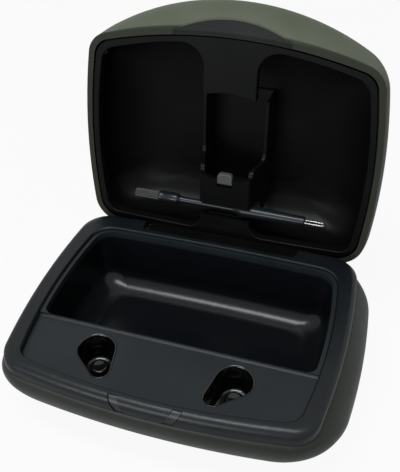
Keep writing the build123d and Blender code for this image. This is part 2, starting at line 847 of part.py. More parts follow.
def make_lid_frame():
    """Flange with two windows, tongue and tab between them, and the long hinge barrel."""
    groove = lid_wall + frame_groove
    frame = extrude(case_plan(up(0), -groove, -groove, -groove, lid_edge_bow, (rear_corner - 2, front_corner - 2)),
                    frame_groove_depth)
    seat = lid_wall + 0.1
    frame += extrude(case_plan(up(frame_groove_depth), -seat, -seat, -seat, lid_edge_bow,
                               (rear_corner, front_corner + 0.7)), frame_thickness - frame_groove_depth)
    opening = extrude(window(up(-1)), frame_thickness + 3)
    frame -= opening
    frame -= mirror(opening, Plane.YZ)
    lips = [edge for edge in frame.edges() if edge.bounding_box().max.Z < up(0.01)
            and window_lip(edge.center())]
    frame = fillet(lips, window_rounding)
    gap = box(-spine_half_width - 1, spine_half_width + 1, set_back(tongue_end), set_back(tab_end), up(-1), up(9))
    radius = (spine_half_width**2 + tongue_hollow**2) / (2 * tongue_hollow)
    gap += post(0, set_back(tongue_end) + radius - tongue_hollow, up(-1), up(9), radius) & box(
        -spine_half_width, spine_half_width, set_back(tongue_end + 9), set_back(tongue_end), up(-1), up(9))
    frame -= gap
    frame += arm_plate(0.0)
    frame += rod(-barrel_half, barrel_half, hinge_y, hinge_z, knuckle_radius)
    for side in (-1, 1):
        ends = sorted((side * (barrel_half + ear_length - hinge_pin_length - 1.5), side * (barrel_half + 1)))
        frame -= rod(ends[0], ends[1], hinge_y, hinge_z, hinge_pin_radius + hinge_pin_clearance)
        frame -= post(side * magnet_x, set_back(magnet_setback), up(magnet_cover), up(9), magnet_radius + 0.05)
    return frame


def make_lid_magnets():
    """Two magnets in pockets in the lid's flange, over those in the rim."""
    low = up(magnet_cover + 0.05)
    return Compound(children=[
        post(side * magnet_x, set_back(magnet_setback), low, low + magnet_height, magnet_radius)
        for side in (-1, 1)])


def make_cradle():
    """Channel for the drying capsule, with side rails and the saddle for the cleaning tool."""
    wide = rail_half_gap + rail_wall
    ceiling = rail_ceiling
    plate = ceiling - cradle_plate
    cradle = box(-wide, wide, set_back(cradle_front), set_back(tab_end + 0.3), plate, ceiling)
    for side in (-1, 1):
        ends = sorted((side * rail_half_gap, side * wide))
        cradle += box(ends[0], ends[1], set_back(cradle_front), set_back(tab_end + 0.3), up(rail_height), ceiling)
    cradle += box(-6, 6, set_back(bracket_rear - 0.1), set_back(tab_end + 0.3), tool_z - 0.4, ceiling)
    cradle -= rod(-20, 20, set_back(tool_setback), tool_z, tool_radius + saddle_clearance)
    cradle -= box(-20, 20, set_back(tool_setback) - tool_radius - saddle_clearance,
                  set_back(tool_setback) + tool_radius + saddle_clearance, 0, tool_z)
    cradle &= lid_body(lid_wall + 0.15)
    return cradle


def bracket_prism(half_face, half_foot, z_face, z_foot):
    """Solid along Y whose section widens from the bracket's face to its feet on the rails."""
    section = Polyline((-half_face, z_face), (half_face, z_face), (half_foot, z_foot), (-half_foot, z_foot), close=True)
    return extrude(Plane.XZ * make_face(section.edges()), 60, both=True)


def make_bracket():
    """Bridge over the channel's lower end, on flared sides whose front edges sweep down to the rails."""
    y_front = set_back(bracket_front)
    y_rear = set_back(bracket_rear)
    y_sweep = y_front - bracket_sweep
    face_z = up(-bracket_proud)
    back_z = face_z + bracket_plate
    foot_z = up(rail_height) - 0.05
    half = bracket_half_width
    foot = rail_half_gap + rail_wall
    sweep_line = Spline((y_front, back_z), (y_sweep, foot_z), tangents=[(-1, 0), (-1, 0)])
    sides = Polyline((y_sweep, foot_z), (y_rear, foot_z), (y_rear, face_z), (y_front, face_z), (y_front, back_z))
    profile = Plane.YZ * make_face(sweep_line.edges() + sides.edges())
    bracket = extrude(profile, 40, both=True, dir=(1, 0, 0)) & bracket_prism(half, foot, face_z, foot_z)
    hollow = bracket_prism(half - bracket_wall, foot - bracket_wall, back_z, foot_z + 0.01)
    bracket -= hollow & box(-99, 99, y_sweep - 1, y_rear - bracket_wall, 0, 99)
    bracket = fillet(bracket.edges().filter_by(Axis.Y).group_by(Axis.Z)[0], 0.5)
    radius = (half**2 + bracket_hollow**2) / (2 * bracket_hollow)
    bracket -= post(0, y_front + bracket_hollow - radius, face_z - 1, back_z + 0.01, radius)
    slot = catch_half_width + catch_clearance
    bracket -= box(-slot, slot, y_front - 1, catch_rear + catch_travel + 0.2, face_z - 1, back_z + 0.01)
    return bracket


def make_catch():
    """Sprung catch in the bracket's hollowed edge, with a stem behind the bracket."""
    face_z = up(-bracket_proud) - 0.3
    back_z = up(-bracket_proud) + bracket_plate
    front = catch_rear - catch_length
    nose = box(-catch_half_width, catch_half_width, front, catch_rear, face_z, back_z - 0.1)
    nose = fillet(nose.edges().filter_by(Axis.Z).group_by(Axis.Y)[0], 1.2)
    nose = fillet(nose.faces().sort_by(Axis.Z)[0].edges(), 0.25)
    stem = box(-catch_half_width + 0.5, catch_half_width - 0.5, front + 1.4, catch_rear + 3.5,
               back_z + 0.1, back_z + 1.0)
    neck = box(-catch_half_width + 0.5, catch_half_width - 0.5, front + 1.4, catch_rear, back_z - 0.2, back_z + 0.2)
    return nose + stem + neck


def make_tool_handle():
    """Turned handle of the cleaning tool: a thick end, a slim waist and a long tapered grip."""
    profile = Polyline(
        (-tool_left, 0), (-tool_left, tool_end_radius - 0.3), (-tool_left + 0.3, tool_end_radius),
        (-tool_step, tool_end_radius), (-tool_step + 1.5, tool_waist_radius),
        (tool_swell - tool_taper, tool_waist_radius), (tool_swell, tool_radius),
        (tool_right - 0.3, tool_tail_radius), (tool_right, tool_tail_radius - 0.3), (tool_right, 0), close=True)
    body = revolve(Plane.XZ * make_face(profile.edges()), Axis.X)
    body -= rod(-tool_left - 1, -tool_left + 2, 0, 0, tool_tip_radius - 0.35)
    for side in (-1, 1):
        body -= rod(tool_right - 2, tool_right + 1, side * (loop_width - loop_wire) / 2, 0, loop_wire / 2)
    return Pos(0, set_back(tool_setback), tool_z) * body


def make_tool_tip():
    """Round tip at one end of the cleaning tool, with a peg in the handle."""
    tip = rod(-tool_left - tool_tip_length, -tool_left, 0, 0, tool_tip_radius)
    tip = fillet(tip.edges().sort_by(Axis.X)[0], 0.4)
    tip += rod(-tool_left - 0.5, -tool_left + 1.9, 0, 0, tool_tip_radius - 0.4)
    return Pos(0, set_back(tool_setback), tool_z) * tip


def make_tool_loop():
    """Wire loop at the other end of the cleaning tool."""
    half = (loop_width - loop_wire) / 2
    start = tool_right - 1.9
    bend = tool_right + loop_length - half
    path = Polyline((start, -half), (bend, -half)) + ThreePointArc((bend, -half), (bend + half, 0), (bend, half))
    path += Polyline((bend, half), (start, half))
    section = Plane((start, -half, 0), z_dir=(1, 0, 0)) * Circle(loop_wire / 2)
    loop = sweep(section, path=path)
    return Pos(0, set_back(tool_setback), tool_z) * loop


# Heights and places that several pieces share
contact_board_top = down(deck_depth + cup_depth + cup_floor + contact_board_gap)
board_underside = down(main_board_depth + board_thickness)
led_y = front_line - front_bow + 6.5
contact_board_front = led_y - 1.4
weight_y = deck_edge - weight_margin
socket_z = board_underside + board_thickness + socket_height / 2
socket_mouth = set_back(-3.9) - socket_mouth_recess
rail_ceiling = up(lid_height - lid_wall - 0.1)
tool_z = up(tool_height - 0.25)
catch_rear = set_back(bracket_front) + 2.7

base_nodes = {
    "base_shell": make_base_shell(),
    "base_rim": make_base_rim(),
    "charging_tray": make_tray(),
    "port_cup_left": make_port_cup(-1),
    "port_cup_right": make_port_cup(1),
    "contact_barrels": make_contact_barrels(),
    "contact_springs": make_contact_springs(),
    "contact_board": make_contact_board(),
    "main_board": make_main_board(),
    "main_chips": make_main_chips(),
    "charge_chips": make_charge_chips(),
    "board_header": make_board_header(),
    "board_screws": make_board_screws(),
    "case_screws": make_case_screws(),
    "light_guide_left": make_light_guide(-1),
    "light_guide_right": make_light_guide(1),
    "status_leds": make_leds(),
    "socket_shell": make_socket_shell(),
    "socket_tongue": make_socket_tongue(),
    "foot_pad": make_foot_pad(),
    "weight_bar": make_weight(),
    "hinge_pins": make_hinge_pins(),
    "rim_magnets": make_rim_magnets(),
}
plunger_names = ["plunger_left_inner", "plunger_left_toe", "plunger_right_inner", "plunger_right_toe"]
for name, (x, y) in zip(plunger_names, pin_places()):
    base_nodes[name] = make_plunger(x, y)

# The lid and what it carries are drawn closed, then turned open
lid_nodes = {
    "lid_shell": make_lid_shell(),
    "lid_frame": make_lid_frame(),
    "thumb_grip": make_thumb_grip(),
    "lid_magnets": make_lid_magnets(),
    "capsule_cradle": make_cradle(),
    "capsule_bracket": make_bracket(),
    "capsule_catch": make_catch(),
    "tool_handle": make_tool_handle(),
    "tool_tip": make_tool_tip(),
    "tool_loop": make_tool_loop(),
}

for name, shape in base_nodes.items():
    export_step(shape, f"parts/{name}.step")
for name, shape in lid_nodes.items():
    export_step(shape.rotate(hinge_axis, -open_angle), f"parts/{name}.step")
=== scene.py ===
"""Hearing aid charger, open, with its cleaning tool in the lid.

The solid model is loaded as a fixed frame. Its nodes get their finishes, and the
port cups, the contact tips, the cleaning tool and the foot pad are drawn again as
finer surfaces. Sizes are in millimetres in the finishes and the pieces, and in
metres in the meshes and the studio.
"""
import logging
import math
from abc import ABC, abstractmethod
from dataclasses import dataclass, field
from enum import Enum

import bmesh
import bpy
import numpy as np
from bpy.types import Material, Node, NodeSocket, NodeTree, Object
from mathutils import Matrix, Vector


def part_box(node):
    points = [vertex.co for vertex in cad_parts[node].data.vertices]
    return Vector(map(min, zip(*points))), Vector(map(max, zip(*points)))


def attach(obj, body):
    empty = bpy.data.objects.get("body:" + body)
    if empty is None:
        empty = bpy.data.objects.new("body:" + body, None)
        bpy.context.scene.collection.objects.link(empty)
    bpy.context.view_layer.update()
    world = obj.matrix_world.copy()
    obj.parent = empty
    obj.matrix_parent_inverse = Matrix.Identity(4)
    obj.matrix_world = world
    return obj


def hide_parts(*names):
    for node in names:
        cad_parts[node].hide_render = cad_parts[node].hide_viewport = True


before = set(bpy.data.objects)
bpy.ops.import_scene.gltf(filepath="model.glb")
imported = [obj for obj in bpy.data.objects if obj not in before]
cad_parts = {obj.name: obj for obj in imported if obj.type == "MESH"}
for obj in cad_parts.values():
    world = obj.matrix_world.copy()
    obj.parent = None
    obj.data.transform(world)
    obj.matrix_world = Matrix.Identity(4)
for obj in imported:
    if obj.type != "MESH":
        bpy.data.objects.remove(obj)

log = logging.getLogger("charger")
MM = 0.001
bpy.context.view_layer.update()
Pair = tuple[float, float]
Triple = tuple[float, float, float]

# Middle part of a noise's range, where nearly all of its variation lies
NOISE_RANGE = {"From Min": 0.3, "From Max": 0.7}
# Sockets of a colour mix, taken by number because several share a name
MIX_SHARE, MIX_FIRST, MIX_SECOND, MIX_COLOUR = 0, 6, 7, 2


# Node helpers

def linear(shade: str) -> tuple[float, float, float, float]:
    """Turn an sRGB hex colour into the linear one that sockets take.

    Args:
        shade: Six hex digits with a leading hash.

    Returns:
        Red, green, blue and an alpha of one.
    """
    parts = [int(shade[i:i + 2], 16) / 255 for i in (1, 3, 5)]
    red, green, blue = (p / 12.92 if p <= 0.04045 else ((p + 0.055) / 1.055) ** 2.4 for p in parts)
    return red, green, blue, 1.0


def add_node(tree: NodeTree, kind: str, settings: dict[str | int, object] | None = None,
             links: dict[str | int, NodeSocket] | None = None) -> Node:
    """Add one node with its settings and incoming links.

    Args:
        tree: Node tree that gets the node.
        kind: Blender's identifier of the node.
        settings: Values by an input's name or number, or else by an attribute's name.
        links: Sockets to link from, by the name or number of the input they go to.

    Returns:
        The new node.
    """
    node = tree.nodes.new(kind)
    for name, value in (settings or {}).items():
        if isinstance(name, int) or name in node.inputs:
            node.inputs[name].default_value = value
        else:
            setattr(node, name, value)
    for name, source in (links or {}).items():
        tree.links.new(source, node.inputs[name])
    return node


# Patterns in real sizes

@dataclass(frozen=True)
class Grain:
    """Noise over an object's own coordinates, whose grains have a width in millimetres."""

    size_mm: float
    detail: float = 2.0
    roughness: float = 0.5

    def height(self, tree: NodeTree) -> NodeSocket:
        """Lay the grain over the object.

        Args:
            tree: Node tree that gets the grain.

        Returns:
            The noise, between nought and one.
        """
        place = add_node(tree, "ShaderNodeTexCoord")
        noise = add_node(
            tree, "ShaderNodeTexNoise",
            {"Scale": 1.0 / (self.size_mm * MM), "Detail": self.detail, "Roughness": self.roughness},
            {"Vector": place.outputs["Object"]})
        return noise.outputs["Fac"]


@dataclass(frozen=True)
class Shades:
    """Two close shades of one material, as flow marks, dust or tarnish give it."""

    first: str
    second: str

    def blend(self, tree: NodeTree, pattern: NodeSocket) -> NodeSocket:
        """Blend from the first shade where a pattern is low to the second where it is high.

        Args:
            tree: Node tree that gets the blend.
            pattern: Pattern between nought and one.

        Returns:
            The blended colour.
        """
        share = add_node(tree, "ShaderNodeMapRange", NOISE_RANGE, {"Value": pattern})
        mix = add_node(
            tree, "ShaderNodeMix",
            {"data_type": "RGBA", MIX_FIRST: linear(self.first), MIX_SECOND: linear(self.second)},
            {MIX_SHARE: share.outputs["Result"]})
        return mix.outputs[MIX_COLOUR]


# Zones of a moulding

@dataclass(frozen=True)
class LipShadeBand:
    """Band of painted shade along the open lid's lip, where the shell seats on its frame, also made
    smoother there.
    """

    hinge: Pair = (27.0, 26.1)
    opened_degrees: float = 98.0
    lip_mm: float = 5.15
    band_mm: float = 0.5
    # Share of the inner side's dark colour laid on the band: painted shade along the lid's edge
    share: float = 0.72

    def mask(self, tree: NodeTree) -> NodeSocket:
        """Build the band of painted shade, which past its width fades out over as much again.

        The height over the closed lid's hinge is the place's part along the axis that
        was upright before the lid swung open.

        Args:
            tree: Node tree that gets the band.

        Returns:
            The band's share at the lip, and nought past the band.
        """
        angle = math.radians(self.opened_degrees)
        axis = (0.0, math.sin(angle), math.cos(angle))
        level = axis[1] * self.hinge[0] + axis[2] * self.hinge[1] + self.lip_mm
        place = add_node(tree, "ShaderNodeTexCoord")
        height = add_node(tree, "ShaderNodeVectorMath", {"operation": "DOT_PRODUCT", 1: axis},
                          {0: place.outputs["Object"]})
        band = add_node(
            tree, "ShaderNodeMapRange",
            {"From Min": (level + self.band_mm) * MM, "From Max": (level + 2 * self.band_mm) * MM,
             "To Min": self.share, "To Max": 0.0},
            {"Value": height.outputs["Value"]})
        return band.outputs["Result"]


@dataclass(frozen=True)
class CoreSide:
    """The inner side of a moulding, given a darker colour and a smoother surface than its outer side.

    A point is on that side where its normal points towards a place inside the hollow.
    """

    inside_mm: Triple
    # Colour of the inner side, also laid on the lip's band as painted shade
    shade: str
    roughness: float
    # Band of painted shade along the lip
    lip: LipShadeBand

    def mask(self, tree: NodeTree) -> NodeSocket:
        """Tell the inner side by the normal times the way from the inside place.

        The lip's band of painted shade counts as part of it, with its own share.

        Args:
            tree: Node tree that gets the zone.

        Returns:
            One where that product is below nought, the band's share on the rest.
        """
        place = add_node(tree, "ShaderNodeTexCoord")
        inside = tuple(v * MM for v in self.inside_mm)
        away = add_node(tree, "ShaderNodeVectorMath", {"operation": "SUBTRACT", 1: inside},
                        {0: place.outputs["Object"]})
        facing = add_node(tree, "ShaderNodeVectorMath", {"operation": "DOT_PRODUCT"},
                          {0: away.outputs["Vector"], 1: place.outputs["Normal"]})
        under = add_node(tree, "ShaderNodeMath", {"operation": "LESS_THAN", 1: 0.0},
                         {0: facing.outputs["Value"]})
        both = add_node(tree, "ShaderNodeMath", {"operation": "MAXIMUM"},
                        {0: under.outputs["Value"], 1: self.lip.mask(tree)})
        return both.outputs["Value"]


@dataclass(frozen=True)
class DeepShadeZone:
    """The deep part of a moulding, polished, and darker than the part above a height as painted shade."""

    top_mm: float
    foot_mm: float
    # Darker colour of the deep part: painted shade
    shade: str
    roughness: float

    def mask(self, tree: NodeTree) -> NodeSocket:
        """Tell the deep part by the height.

        Args:
            tree: Node tree that gets the zone.

        Returns:
            From nought above the top height to one below the foot height.
        """
        place = add_node(tree, "ShaderNodeTexCoord")
        parts = add_node(tree, "ShaderNodeSeparateXYZ", links={"Vector": place.outputs["Object"]})
        fall = add_node(tree, "ShaderNodeMapRange",
                        {"From Min": self.top_mm * MM, "From Max": self.foot_mm * MM},
                        {"Value": parts.outputs["Z"]})
        return fall.outputs["Result"]


# Kinds of finish

@dataclass(frozen=True)
class Finish(ABC):
    """A named finish, whose shader each kind builds in its own way."""

    name: str

    @abstractmethod
    def surface(self, tree: NodeTree) -> NodeSocket:
        """Build the finish's shader in its tree and hand out its socket."""

    def material(self) -> Material:
        """Build the material round the finish's shader.

        Returns:
            The new material.
        """
        material = bpy.data.materials.new(self.name)
        material.use_nodes = True
        tree = material.node_tree
        tree.nodes.clear()
        add_node(tree, "ShaderNodeOutputMaterial", links={"Surface": self.surface(tree)})
        return material


class Texture(Enum):
    """How the mould or the maker left a plastic's surface, by the height of its pits in mm.

    A spark-eroded mould leaves fine pits, a blasted one a faint satin.
    """

    SPARKED = 0.05
    SATIN = 0.012
    POLISHED = 0.002


@dataclass(frozen=True)
class MouldedPlastic(Finish):
    """Moulded plastic or epoxy in one of three textures.

    The two shades lie close together, as a large moulding's flow marks do.
    """

    shade: str
    flow_shade: str
    texture: Texture
    roughness: float
    grain_mm: float
    specular: float = 0.5
    coat: float = 0.0
    coat_roughness: float = 0.08
    # Zone with a darker colour: painted shade in the tray's well and on the lid's lip band, and the lid's
    # darker inner side
    zone: CoreSide | DeepShadeZone | None = None
    relief: float = 0.55
    flow_mm: float = 14.0
    handling_mm: float = 5.0
    handling: Pair = (-0.03, 0.04)

    def surface(self, tree: NodeTree) -> NodeSocket:
        """Build the shader: flow marks in the colour, pits in the bump, handling in the gloss.

        Args:
            tree: Node tree of the finish.

        Returns:
            The shader's socket.
        """
        pits = add_node(
            tree, "ShaderNodeBump", {"Strength": self.relief, "Distance": self.texture.value * MM},
            {"Height": Grain(self.grain_mm, detail=3.0, roughness=0.6).height(tree)})
        colour = Shades(self.shade, self.flow_shade).blend(tree, Grain(self.flow_mm).height(tree))
        handled = add_node(
            tree, "ShaderNodeMapRange",
            {**NOISE_RANGE, "To Min": self.roughness + self.handling[0],
             "To Max": self.roughness + self.handling[1]},
            {"Value": Grain(self.handling_mm, detail=4.0).height(tree)})
        gloss = handled.outputs["Result"]
        if self.zone is not None:
            # Mix in the zone's darker colour, which is painted shade in the tray's well and along the lid's
            # lip
            mask = self.zone.mask(tree)
            tint = add_node(
                tree, "ShaderNodeMix", {"data_type": "RGBA", MIX_SECOND: linear(self.zone.shade)},
                {MIX_SHARE: mask, MIX_FIRST: colour})
            smooth = add_node(tree, "ShaderNodeMapRange", {"To Max": self.zone.roughness},
                              {"Value": mask, "To Min": gloss})
            colour = tint.outputs[MIX_COLOUR]
            gloss = smooth.outputs["Result"]
        shader = add_node(
            tree, "ShaderNodeBsdfPrincipled",
            {"IOR": 1.5, "Specular IOR Level": self.specular, "Coat Weight": self.coat,
             "Coat Roughness": self.coat_roughness},
            {"Base Color": colour, "Roughness": gloss, "Normal": pits.outputs["Normal"]})
        return shader.outputs[0]


class MetalSurface(Enum):
    """How a metal piece was finished, by the scale of its noise along each axis.

    A low scale along X draws the noise out into the lines of drawing or the scratches
    of grinding. Plating leaves none.
    """

    PLATED = (1, 1, 1)
    DRAWN = (0.05, 1, 1)
    GROUND = (0.15, 1, 1)


@dataclass(frozen=True)
class Metal(Finish):
    """Steel or plated brass with the lines its making leaves."""

    shade: str
    worn_shade: str
    making: MetalSurface
    roughness: float
    line_mm: float = 0.12
    line_depth_mm: float = 0.004
    relief: float = 0.3
    tarnish_mm: float = 1.2
    wear: Pair = (-0.05, 0.08)

    def surface(self, tree: NodeTree) -> NodeSocket:
        """Build the shader: stretched noise draws the lines, a coarser one the tarnish.

        Args:
            tree: Node tree of the finish.

        Returns:
            The shader's socket.
        """
        place = add_node(tree, "ShaderNodeTexCoord")
        stretched = add_node(tree, "ShaderNodeMapping", {"Scale": self.making.value},
                             {"Vector": place.outputs["Object"]})
        lines = add_node(tree, "ShaderNodeTexNoise", {"Scale": 1.0 / (self.line_mm * MM), "Detail": 2.0},
                         {"Vector": stretched.outputs["Vector"]})
        relief = add_node(tree, "ShaderNodeBump",
                          {"Strength": self.relief, "Distance": self.line_depth_mm * MM},
                          {"Height": lines.outputs["Fac"]})
        gloss = add_node(
            tree, "ShaderNodeMapRange",
            {**NOISE_RANGE, "To Min": self.roughness + self.wear[0],
             "To Max": self.roughness + self.wear[1]},
            {"Value": lines.outputs["Fac"]})
        colour = Shades(self.shade, self.worn_shade).blend(tree, Grain(self.tarnish_mm).height(tree))
        shader = add_node(
            tree, "ShaderNodeBsdfPrincipled", {"Metallic": 1.0},
            {"Base Color": colour, "Roughness": gloss.outputs["Result"],
             "Normal": relief.outputs["Normal"]})
        return shader.outputs[0]


@dataclass(frozen=True)
class DullPolymer(Finish):
    """Rubber or nylon that stays matte, with dust in its grain."""

    shade: str
    dust_shade: str
    grain_mm: float
    roughness: float = 0.78
    grain_depth_mm: float = 0.03
    dust_mm: float = 2.5

    def surface(self, tree: NodeTree) -> NodeSocket:
        """Build the shader: dust in the colour, a leathery grain in the bump.

        Args:
            tree: Node tree of the finish.

        Returns:
            The shader's socket.
        """
        relief = add_node(tree, "ShaderNodeBump", {"Strength": 0.6, "Distance": self.grain_depth_mm * MM},
                          {"Height": Grain(self.grain_mm, detail=4.0, roughness=0.65).height(tree)})
        dust = Grain(self.dust_mm, detail=5.0, roughness=0.7).height(tree)
        shader = add_node(
            tree, "ShaderNodeBsdfPrincipled",
            {"Roughness": self.roughness, "Specular IOR Level": 0.35, "Sheen Weight": 0.15,
             "Sheen Roughness": 0.5},
            {"Base Color": Shades(self.shade, self.dust_shade).blend(tree, dust),
             "Normal": relief.outputs["Normal"]})
        return shader.outputs[0]


@dataclass(frozen=True)
class SolderMask(Finish):
    """Glass-fibre circuit board under green solder mask, with its weave faintly showing.

    The wave texture runs through half a wave in 0.16 of its unit, which is one thread.
    """

    shade: str
    track_shade: str
    weave_mm: float = 0.5
    half_wave: float = 0.16
    track_mm: float = 2.2
    weave_depth_mm: float = 0.01

    def surface(self, tree: NodeTree) -> NodeSocket:
        """Build the shader: square cells darken it like tracks, fine waves give the weave.

        Args:
            tree: Node tree of the finish.

        Returns:
            The shader's socket.
        """
        place = add_node(tree, "ShaderNodeTexCoord")
        cells = add_node(tree, "ShaderNodeTexVoronoi",
                         {"distance": "CHEBYCHEV", "Scale": 1.0 / (self.track_mm * MM)},
                         {"Vector": place.outputs["Object"]})
        weave = add_node(tree, "ShaderNodeTexWave",
                         {"Scale": self.half_wave / (self.weave_mm * MM), "Distortion": 0.6},
                         {"Vector": place.outputs["Object"]})
        relief = add_node(tree, "ShaderNodeBump", {"Strength": 0.3, "Distance": self.weave_depth_mm * MM},
                          {"Height": weave.outputs["Fac"]})
        colour = Shades(self.track_shade, self.shade).blend(tree, cells.outputs["Distance"])
        shader = add_node(
            tree, "ShaderNodeBsdfPrincipled",
            {"Roughness": 0.32, "Coat Weight": 0.4, "Coat Roughness": 0.15},
            {"Base Color": colour, "Normal": relief.outputs["Normal"]})
        return shader.outputs[0]


@dataclass(frozen=True)
class LightPipe(Finish):
    """Frosted polycarbonate or epoxy that carries an LED's light, milky inside."""

    shade: str
    core_shade: str
    frost_mm: float = 0.3
    frost_depth_mm: float = 0.01
    core_mm: float = 3.0
    scatter_mm: float = 0.8

    def surface(self, tree: NodeTree) -> NodeSocket:
        """Build the shader: scatter inside, a fine frost outside.

        Args:
            tree: Node tree of the finish.

        Returns:
            The shader's socket.
        """
        relief = add_node(tree, "ShaderNodeBump", {"Strength": 0.3, "Distance": self.frost_depth_mm * MM},
                          {"Height": Grain(self.frost_mm).height(tree)})
        colour = Shades(self.shade, self.core_shade).blend(tree, Grain(self.core_mm).height(tree))
        shader = add_node(
            tree, "ShaderNodeBsdfPrincipled",
            {"Roughness": 0.38, "IOR": 1.58, "Specular IOR Level": 0.25, "Subsurface Weight": 0.35,
             "Subsurface Scale": self.scatter_mm * MM, "Transmission Weight": 0.12},
            {"Base Color": colour, "Normal": relief.outputs["Normal"]})
        return shader.outputs[0]


# Finishes

# Place inside the open lid's hollow, by which its inner side is told from its outer one
LID_HOLLOW = (0.0, 42.5, 56.2)
# Heights between which the tray's deck turns into its well
DECK_EDGE, WELL_TOP = 28.7, 27.6

# ABS with a spark-eroded texture: spreads highlights wide and hides finger marks.
# The base shell and the lid's dome are one ABS; this copy's darker shade is painted shade.
SHADED_SHELL_ABS = MouldedPlastic(
    "sparked_abs_shell_shaded", "#1E211C", "#242722", Texture.SPARKED, 0.42, 0.45, specular=0.2)
# ABS, same mould texture: the lid's dome, the same ABS as the base shell, in a lighter green grey that is
# painted light, with a darker, smoother inner side and a band of painted shade along its lip
LIT_DOME_ABS = MouldedPlastic(
    "sparked_abs_dome_lit", "#565B4C", "#5D6153", Texture.SPARKED, 0.50, 0.28, specular=0.08,
    zone=CoreSide(LID_HOLLOW, "#070706", 0.34, LipShadeBand()))
# ABS, blasted mould: a cool grey satin that keeps a soft line of light on the rim's front
RIM_ABS = MouldedPlastic("satin_abs_rim", "#0E1214", "#131719", Texture.SATIN, 0.33, 0.22, specular=0.22)
# ABS, coarsely blasted mould, its pits as deep as a spark-eroded one's: the dull thumb grip
GRIP_ABS = MouldedPlastic(
    "blasted_abs_grip", "#1E201D", "#232522", Texture.SPARKED, 0.6, 0.35, specular=0.08)
# ABS, blasted mould: the tray's deck, with the well below it polished and darker as painted shade
TRAY_ABS = MouldedPlastic(
    "satin_abs_tray", "#191E21", "#1E2326", Texture.SATIN, 0.38, 0.22, specular=0.22,
    zone=DeepShadeZone(DECK_EDGE, WELL_TOP, "#0B0D10", 0.22))
# Polycarbonate, polished mould: near black, with crescents of light at the mouths
CUP_GLOSS = MouldedPlastic(
    "polished_polycarbonate_cup", "#050607", "#070808", Texture.POLISHED, 0.10, 0.4, coat=0.25,
    specular=0.3)
# ABS, blasted mould: warm near black that keeps the lid's inside quiet
LINER_ABS = MouldedPlastic(
    "satin_abs_lid_frame", "#080808", "#0B0B0A", Texture.SATIN, 0.38, 0.25, specular=0.08)
# ABS, blasted mould: the channel that holds the capsule
INNER_ABS = MouldedPlastic(
    "satin_abs_cradle", "#0B0B0A", "#0E0E0C", Texture.SATIN, 0.44, 0.3, specular=0.07)
# Acetal, moulded: the sprung catch, greyer than the bracket round it
CATCH_ACETAL = MouldedPlastic(
    "moulded_acetal_catch", "#4A4B49", "#505250", Texture.SATIN, 0.42, 0.3, specular=0.3)
# Acetal, turned and lightly polished: blue-black with a soft line of light
TOOL_ACETAL = MouldedPlastic(
    "turned_acetal_tool", "#12171A", "#161B1E", Texture.POLISHED, 0.3, 0.5, coat=0.05, specular=0.24)
# Extruded nylon of the brush tip's strands: dark grey, dry and dull
TIP_NYLON = DullPolymer("nylon_brush_strands", "#2E302B", "#3E403A", 0.35, 0.6)
# Styrene-butadiene rubber, moulded: the foot, dull with dust in its grain
FOOT_RUBBER = DullPolymer("moulded_rubber_foot", "#151515", "#232322", 0.5)
# Epoxy, moulded: chip housings and connector bodies, black and dull
CHIP_EPOXY = MouldedPlastic("moulded_epoxy_chip", "#121213", "#18181A", Texture.SPARKED, 0.55, 0.15)
# Epoxy, cast: the cap over a white LED's phosphor, pale yellow through it
LED_EPOXY = LightPipe("led_phosphor_epoxy", "#E6E3C8", "#F2EFDC")
# Polycarbonate, frosted: the light guides, dark grey while they are unlit
GUIDE_PC = LightPipe("frosted_polycarbonate_guide", "#14181A", "#1E2325")
# Spring steel, bright drawn: the loop's wire, with thin lines of light along it
LOOP_WIRE = Metal("bright_drawn_spring_wire", "#A3A3A0", "#8C8C88", MetalSurface.DRAWN, 0.26)
# Steel, ground and zinc-plated: screws, pins, springs, socket and weight, cool grey
PLATED_STEEL = Metal("zinc_plated_steel", "#A7A8A9", "#8D8E90", MetalSurface.GROUND, 0.32)
# Brass, nickelled and hard gold-plated: contact tips and barrels, warm and bright
GOLD_PLATE = Metal("hard_gold_plate", "#D9B45E", "#B8923F", MetalSurface.PLATED, 0.16)
# Epoxy, sprayed over neodymium magnets to keep damp from them: black satin
MAGNET_EPOXY = MouldedPlastic(
    "epoxy_coated_magnet", "#101011", "#151516", Texture.SATIN, 0.45, 0.2, specular=0.2)
# Glass fibre under solder mask: the circuit boards, glossy green over darker tracks
BOARD_MASK = SolderMask("green_solder_mask", "#0F4A25", "#0A3A1C")

# Solid nodes of each finish, their names parted by blanks
FINISHED_NODES: dict[Finish, str] = {
    SHADED_SHELL_ABS: "base_shell",
    LIT_DOME_ABS: "lid_shell",
    RIM_ABS: "base_rim",
    GRIP_ABS: "thumb_grip",
    TRAY_ABS: "charging_tray",
    LINER_ABS: "lid_frame capsule_bracket",
    INNER_ABS: "capsule_cradle",
    CATCH_ACETAL: "capsule_catch",
    GUIDE_PC: "light_guide_left light_guide_right",
    CUP_GLOSS: "port_cup_left port_cup_right",
    GOLD_PLATE: "contact_barrels plunger_left_inner plunger_left_toe "
                "plunger_right_inner plunger_right_toe",
    PLATED_STEEL: "contact_springs board_screws case_screws socket_shell weight_bar hinge_pins",
    BOARD_MASK: "contact_board main_board",
    CHIP_EPOXY: "main_chips charge_chips board_header socket_tongue",
    LED_EPOXY: "status_leds",
    FOOT_RUBBER: "foot_pad",
    MAGNET_EPOXY: "rim_magnets lid_magnets",
    TOOL_ACETAL: "tool_handle",
    TIP_NYLON: "tool_tip",
    LOOP_WIRE: "tool_loop",
}


@dataclass
class FinishShelf:
    """Builds each finish once and hands it out by its name."""

    made: dict[str, Material] = field(default_factory=dict)

    def get(self, finish: Finish) -> Material:
        """Hand out a finish's material, and build it at its first use.

        Args:
            finish: The finish asked for.

        Returns:
            Its one material.
        """
        if finish.name not in self.made:
            self.made[finish.name] = finish.material()
        return self.made[finish.name]


# Surfaces

